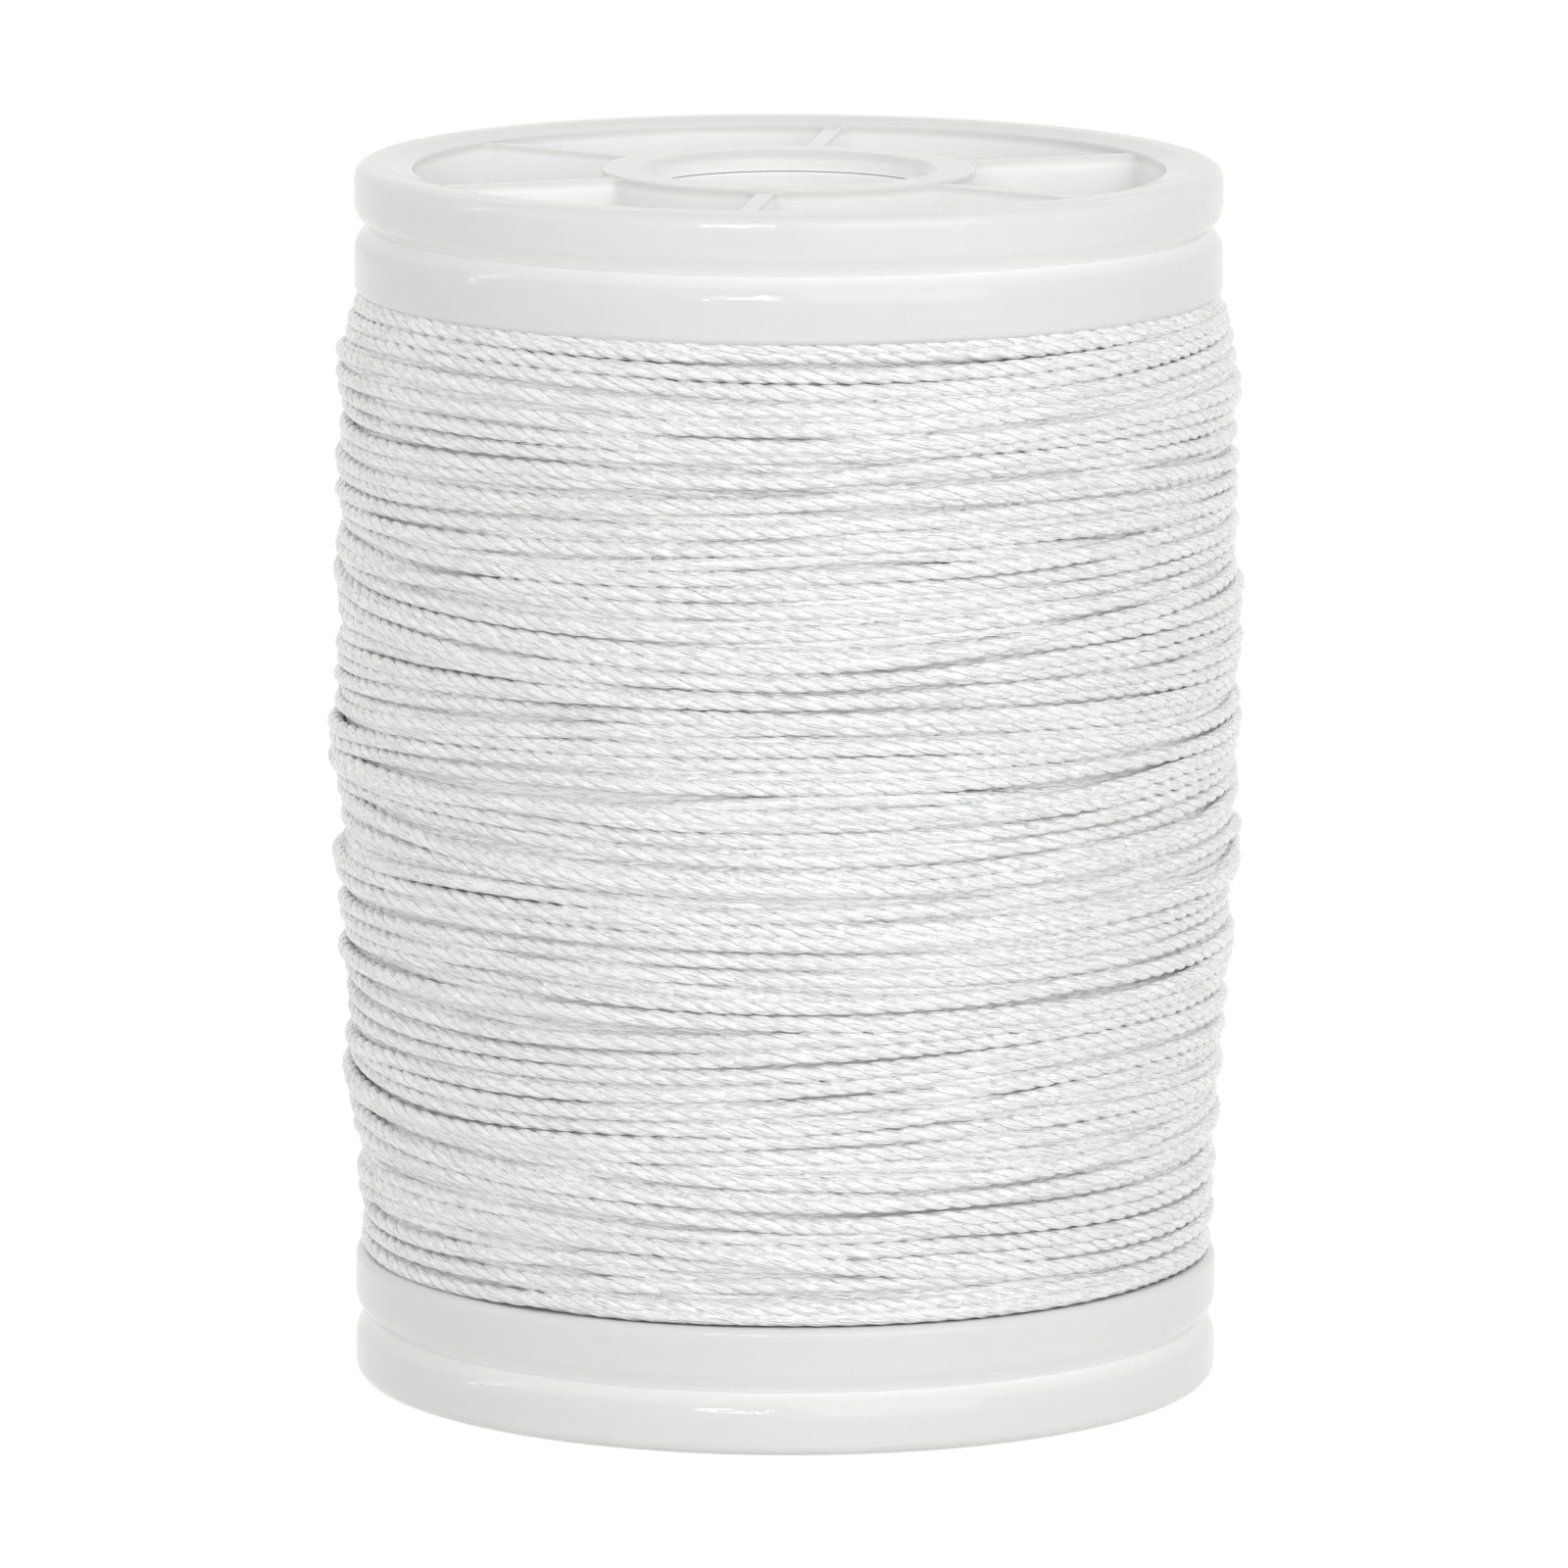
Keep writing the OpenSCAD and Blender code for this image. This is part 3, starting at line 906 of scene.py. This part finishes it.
def milky_plastic(name, colour, painted_light_colour, s):
    """Natural polypropylene: milky, with a glossy skin and faint flow marks round the mould.

    Where light gets through it, and where shade falls at the seam and the mouth, its colour is
    painted lighter: painted light.
    """
    n = Nodes(name)
    place = n.add("TexCoord").outputs["Object"]
    cloud = n.noise(place, 90)
    painted_light, lost = plastic_masks(n, place, s)
    # painted light: the plastic's colour is painted lighter by this mask
    tone = n.add("Mix", data_type="RGBA")
    n.link(painted_light, tone.inputs["Factor"])
    tone.inputs[6].default_value = (*colour, 1)
    tone.inputs[7].default_value = (*painted_light_colour, 1)
    clouded = n.ramp(cloud, 0.35, 0.65, (0.98, 0.98, 0.98), (1, 1, 1))
    n.link(n.mixed(tone.outputs[2], clouded, 1.0), n.shader.inputs["Base Color"])
    flow = n.noise(place, 60, 4, stretch=(1, 1, 14), roughness=0.55)
    n.link(n.ramp(flow, 0.35, 0.68, 0.29, 0.4), n.shader.inputs["Roughness"])
    n.link(n.bump(flow, 0.02 * MM), n.shader.inputs["Normal"])
    ripple = n.ramp(n.noise(place, 700, stretch=(1, 1, 4), roughness=0.6), 0, 1, 0, 0.18)
    n.link(n.bump(n.math("ADD", flow, ripple), 0.12 * MM), n.shader.inputs["Coat Normal"])
    n.link(n.ramp(lost, 0, 0.9, 0.5, 0), n.shader.inputs["Subsurface Weight"])
    settle(n.shader, {
        "Coat Weight": 0.65,
        "Coat Roughness": 0.06,
        "IOR": 1.49,
        "Specular IOR Level": 0.15,
        "Subsurface Radius": (1.0, 0.98, 0.96),
        "Subsurface Scale": 1.2 * MM,
    })
    return n.material


def waxed_thread(name, colour):
    """Bright white twisted filaments under a fine coat of wax, with painted shade between the
    plies.
    """
    n = Nodes(name)
    straight = n.add("Attribute", attribute_name="straight").outputs["Vector"]
    valley = n.add("Attribute", attribute_name="valley").outputs["Fac"]
    filaments = n.noise(straight, 9000, 1, stretch=(0.12, 1, 1), roughness=0.7)
    wax = n.noise(straight, 420, 3, stretch=(0.5, 1, 1))
    colour = np.array(colour)
    fibres = n.ramp(filaments, 0.3, 0.62, colour * 0.9, np.minimum(colour * 1.03, 1))
    coated = n.ramp(wax, 0.4, 0.62, (1, 1, 1), (0.95, 0.95, 0.95))
    # painted shade: the valleys between the plies are painted darker, as shade in the creases
    dark = n.ramp(valley, 0.6, 1.0, (1, 1, 1), (0.6, 0.6, 0.6))
    waxed = n.mixed(fibres, coated, 1.0)
    shaded = n.mixed(waxed, dark, n.ramp(wax, 0.35, 0.6, 1.0, 0.3))
    n.link(shaded, n.shader.inputs["Base Color"])
    n.link(n.ramp(wax, 0.4, 0.62, 0.3, 0.5), n.shader.inputs["Roughness"])
    n.link(n.bump(filaments, 0.2 * MM), n.shader.inputs["Normal"])
    settle(n.shader, {
        "Coat Weight": 1.0,
        "Coat Roughness": 0.2,
        "Coat IOR": 1.6,
        "IOR": 1.46,
        "Sheen Weight": 0.15,
        "Sheen Roughness": 0.4,
    })
    return n.material


def seen_as(tree, shown, lights):
    """Mixes two shaders: shown to the camera and in gloss and glass, lights for all else."""
    path = tree.nodes.new("ShaderNodeLightPath")
    seen = path.outputs["Is Camera Ray"]
    for kind in ("Is Glossy Ray", "Is Transmission Ray"):
        either = tree.nodes.new("ShaderNodeMath")
        either.operation = "MAXIMUM"
        tree.links.new(seen, either.inputs[0])
        tree.links.new(path.outputs[kind], either.inputs[1])
        seen = either.outputs[0]
    mix = tree.nodes.new("ShaderNodeMixShader")
    for source, socket in zip((seen, lights, shown), mix.inputs):
        tree.links.new(source, socket)
    return mix.outputs[0]


# ---- stage


FLOOR_REACH = 2  # half the floor's width
FLOOR_DROP = 0.02 * MM  # floor below the spool's foot
FLOOR_GLOW = 0.84  # light of its own that the camera sees in the floor
FLOOR_LIT = 0.3  # share of the lamps' light that it sees there
FLOOR_LIFT = 0.06  # light of its own that the floor gives to all else
ROOM_LIGHT = 0.62
LAMPS_FACE = Vector((0, 0, 0.03))
# Name, place, width and height, watts and colour of each soft lamp
LAMPS = (
    ("key_softbox", (0.38, -0.64, 0.36), (0.7, 0.7), 2.3, (1, 1, 1)),
    ("back_softbox", (0, 0.6, 0.6), (0.9, 0.12), 0.35, (1, 0.985, 0.88)),
    ("top_softbox", (0, -0.05, 0.85), (0.5, 0.5), 0.05, (1, 0.99, 0.92)),
    ("left_strip", (-0.6, 0.02, 0.3), (0.03, 0.4), 0.2, (1, 1, 1)),
    ("front_softbox", (-0.18, -0.73, 0.3), (0.28, 0.06), 0.85, (1, 1, 1)),
)
BORE_FILL_BELOW = 9.4 * MM  # small lamp in the bore, below the top


def placed(name, data):
    """A new object in the scene."""
    thing = bpy.data.objects.new(name, data)
    bpy.context.scene.collection.objects.link(thing)
    return thing


def pale_floor(colour):
    """A square floor, nearly white to the camera and plain and matt for all else."""
    r = FLOOR_REACH
    mesh = bpy.data.meshes.new("pale_floor")
    corners = [(x, y, -FLOOR_DROP) for x, y in ((-r, -r), (r, -r), (r, r), (-r, r))]
    mesh.from_pydata(corners, [], [(0, 1, 2, 3)])
    n = Nodes("pale_floor_paint")
    settle(n.shader, {"Base Color": (*colour, 1), "Roughness": 0.9})
    paint = n.shader.outputs[0]
    glow, black, lift = (n.emission(strength) for strength in (FLOOR_GLOW, 0, FLOOR_LIFT))
    seen = n.joined("AddShader", glow, n.joined("MixShader", black, paint, FLOOR_LIT))
    lights = n.joined("AddShader", paint, lift)
    out = n.tree.nodes["Material Output"]
    n.link(seen_as(n.tree, seen, lights), out.inputs["Surface"])
    mesh.materials.append(n.material)
    return placed("pale_floor", mesh)


def white_room():
    """Soft white light from all round, and plain white behind the spool."""
    world = bpy.data.worlds.new("soft_white_room")
    world.use_nodes = True
    tree = world.node_tree
    room, white = tree.nodes["Background"], tree.nodes.new("ShaderNodeBackground")
    settle(room, {"Color": (1, 1, 1, 1), "Strength": ROOM_LIGHT})
    settle(white, {"Color": (1, 1, 1, 1), "Strength": 1})
    shown = seen_as(tree, white.outputs[0], room.outputs[0])
    tree.links.new(shown, tree.nodes["World Output"].inputs["Surface"])
    return world


def soft_lamp(name, place, size, watts, colour):
    """A soft rectangular lamp at place that faces the spool."""
    lamp = bpy.data.lights.new(name, "AREA")
    lamp.shape = "RECTANGLE"
    lamp.size, lamp.size_y = size
    lamp.energy = watts
    lamp.color = colour
    light = placed(name, lamp)
    light.location = place
    light.rotation_euler = (LAMPS_FACE - Vector(place)).to_track_quat("-Z", "Y").to_euler()


def bore_fill(height):
    """A small weak lamp in the bore, for the light that comes through its wall."""
    lamp = bpy.data.lights.new("bore_fill", "POINT")
    lamp.energy = 0.0008
    lamp.shadow_soft_size = 2 * MM
    fill = placed("bore_fill", lamp)
    fill.location = (0, 0, height)
    fill.visible_camera = fill.visible_glossy = False


def standing_camera(place):
    """The camera, tilted down and turned about its own line."""
    lens = bpy.data.cameras.new("camera")
    lens.sensor_width = 36
    lens.lens = place.lens
    lens.clip_start, lens.clip_end = 0.01, 50
    camera = placed("camera", lens)
    tilt = Matrix.Rotation(np.pi / 2 - place.tilt, 4, "X")
    roll = Matrix.Rotation(place.roll, 4, "Z")
    stand = Matrix.Translation((place.aside, -place.distance, place.height))
    camera.matrix_world = stand @ tilt @ roll
    return camera


# ---- operators


class SPOOL_OT_core(bpy.types.Operator):
    """Makes the winding core with its flanges and necks"""

    bl_idname = "spool.core"
    bl_label = "Winding core"

    def execute(self, context):
        s, colours = context.scene.spool_sizes, context.scene.spool_finishes
        points, faces = revolved(core_outline(s), all_round(288))
        material = milky_plastic("milky_core_plastic", colours.core, colours.painted_light, s)
        piece = mesh_piece("core_moulding", points, [faces.reshape(-1, 4)], material, "core")
        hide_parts("winding_core")
        return {"FINISHED"}


class SPOOL_OT_caps(bpy.types.Operator):
    """Makes the two spoked locking caps"""

    bl_idname = "spool.caps"
    bl_label = "Locking caps"

    def execute(self, context):
        s, colours = context.scene.spool_sizes, context.scene.spool_finishes
        material = milky_plastic("milky_cap_plastic", colours.cap, colours.painted_light, s)
        for end, upside in (("top", True), ("bottom", False)):
            points, faces = cap_mesh(s, upside)
            piece = mesh_piece(f"{end}_cap_moulding", points, [faces], material, f"{end}_cap")
            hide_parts(f"{end}_lock_cap")
        return {"FINISHED"}


class SPOOL_OT_thread(bpy.types.Operator):
    """Winds the thread and makes its turns"""

    bl_idname = "spool.thread"
    bl_label = "Waxed thread"

    def execute(self, context):
        t, colours = context.scene.spool_thread, context.scene.spool_finishes
        heights, radii, turns = wind(t)
        material = waxed_thread("white_waxed_thread", colours.thread)
        arc = radii * TAU / TURN
        along = np.concatenate([[0], np.cumsum(np.hypot(arc[1:], np.diff(heights)))])
        for layer, (name, step, sides, parts) in enumerate(LAYER_PIECES):
            share_up = np.rint(np.linspace(0, turns, parts + 1)).astype(int)
            cuts = np.minimum((layer * turns + share_up) * TURN, len(heights) - 1)
            for k in range(parts):
                rows = np.arange(cuts[k], cuts[k + 1] + 1, step)
                points, faces, straight, valleys = strand(t, heights, radii, rows, sides, along)
                piece = mesh_piece(f"{name}_{k + 1}", points, faces, material, "core",
                                   {"straight": straight}, valleys)
                if name == "outer_turns":
                    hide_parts("outer_winding")
        points, faces, straight = inner_layers(context.scene.spool_sizes, t)
        piece = mesh_piece("inner_layers", points, faces, material, "core",
                           {"straight": straight})
        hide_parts("wound_layers")
        return {"FINISHED"}


class SPOOL_OT_stage(bpy.types.Operator):
    """Sets the floor, the soft lights and the camera"""

    bl_idname = "spool.stage"
    bl_label = "Stage"

    def execute(self, context):
        scene = context.scene
        pale_floor(scene.spool_finishes.floor)
        scene.world = white_room()
        for lamp in LAMPS:
            soft_lamp(*lamp)
        bore_fill(scene.spool_sizes.height - BORE_FILL_BELOW)
        scene.camera = standing_camera(scene.spool_camera)
        scene.view_settings.view_transform = "Standard"
        return {"FINISHED"}


class SPOOL_PT_panel(bpy.types.Panel):
    """Lists the spool's pieces and sizes"""

    bl_idname = "SPOOL_PT_panel"
    bl_label = "Waxed Thread Spool"
    bl_space_type = "VIEW_3D"
    bl_region_type = "UI"
    bl_category = "Thread Spool"

    def draw(self, context):
        layout = self.layout
        for operator in OPERATORS:
            layout.operator(operator.bl_idname)
        for key in GROUPS:
            group = getattr(context.scene, key)
            box = layout.box()
            for name in group.__annotations__:
                box.prop(group, name)


OPERATORS = (SPOOL_OT_core, SPOOL_OT_caps, SPOOL_OT_thread, SPOOL_OT_stage)
GROUPS = {
    "spool_sizes": SpoolSizes,
    "spool_thread": ThreadSizes,
    "spool_finishes": Finishes,
    "spool_camera": CameraPlace,
}
CLASSES = (*GROUPS.values(), *OPERATORS, SPOOL_PT_panel)


def register():
    """Registers the classes and hangs the sizes on the scene."""
    for cls in CLASSES:
        bpy.utils.register_class(cls)
    for key, group in GROUPS.items():
        setattr(bpy.types.Scene, key, bpy.props.PointerProperty(type=group))


def unregister():
    """Takes the sizes and the classes away again."""
    for key in GROUPS:
        delattr(bpy.types.Scene, key)
    for cls in reversed(CLASSES):
        bpy.utils.unregister_class(cls)


def main():
    """Hangs the sizes on the scene, and builds every piece and the stage."""
    register()
    bpy.ops.spool.core()
    bpy.ops.spool.caps()
    bpy.ops.spool.thread()
    bpy.ops.spool.stage()


if __name__ == "__main__":
    main()
